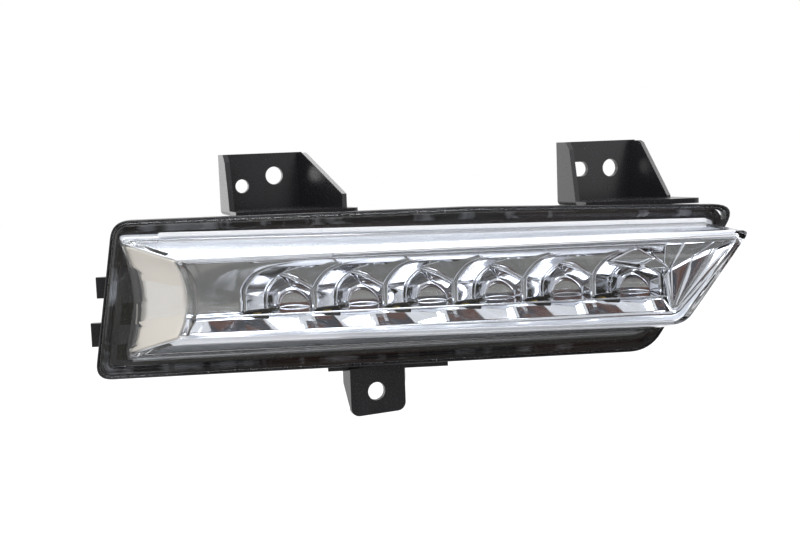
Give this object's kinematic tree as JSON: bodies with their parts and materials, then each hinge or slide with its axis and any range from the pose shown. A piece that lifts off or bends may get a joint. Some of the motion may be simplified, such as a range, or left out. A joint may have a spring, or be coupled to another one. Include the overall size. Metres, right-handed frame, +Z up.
{
  "type": "daytime running light",
  "caption": "Car daytime running light: clear pointed lens box over a metallised multi-cell LED reflector, in a black moulded housing with screw brackets and a rear plug socket.",
  "frame": {"origin": "centre of the large screw hole of the upper left bracket, on the bracket's rear face", "axes": "+X along the bumper towards the lens's pointed end, -Y the way the lamp shines, +Z up"},
  "size_m": [0.2822, 0.15, 0.1227],
  "materials": {
    "housing": "satin black moulded polypropylene",
    "lens": "clear polished polycarbonate",
    "seal": "grey butyl glue bead",
    "reflector": "bright metallised polycarbonate",
    "bezel": "satin metallised",
    "board": "white solder mask on aluminium",
    "led": "yellow phosphor",
    "pad": "soft thermal pad",
    "sink": "extruded, bare",
    "screws": "zinc plated",
    "chip": "moulded black package",
    "ferrite": "dark ferrite",
    "can": "bright can",
    "blades": "tin-flashed brass",
    "membrane": "porous white membrane",
    "cap": "black moulded plastic"
  },
  "bodies": {
    "root": {"housing": "housing", "lens": "lens", "lens_seal": "seal", "reflector": "reflector", "end_bezel": "bezel", "led_board": "board", "led_1": "led", "led_2": "led", "led_3": "led", "led_4": "led", "led_5": "led", "led_6": "led", "thermal_pad": "pad", "heat_sink": "sink", "board_screws": "screws", "reflector_screws": "screws", "driver_chip": "chip", "coil": "ferrite", "capacitor_1": "can", "capacitor_2": "can", "diode": "chip", "terminal_1": "blades", "terminal_2": "blades", "terminal_3": "blades", "vent_membrane": "membrane", "vent_cap": "cap"}
  },
  "joints": []
}
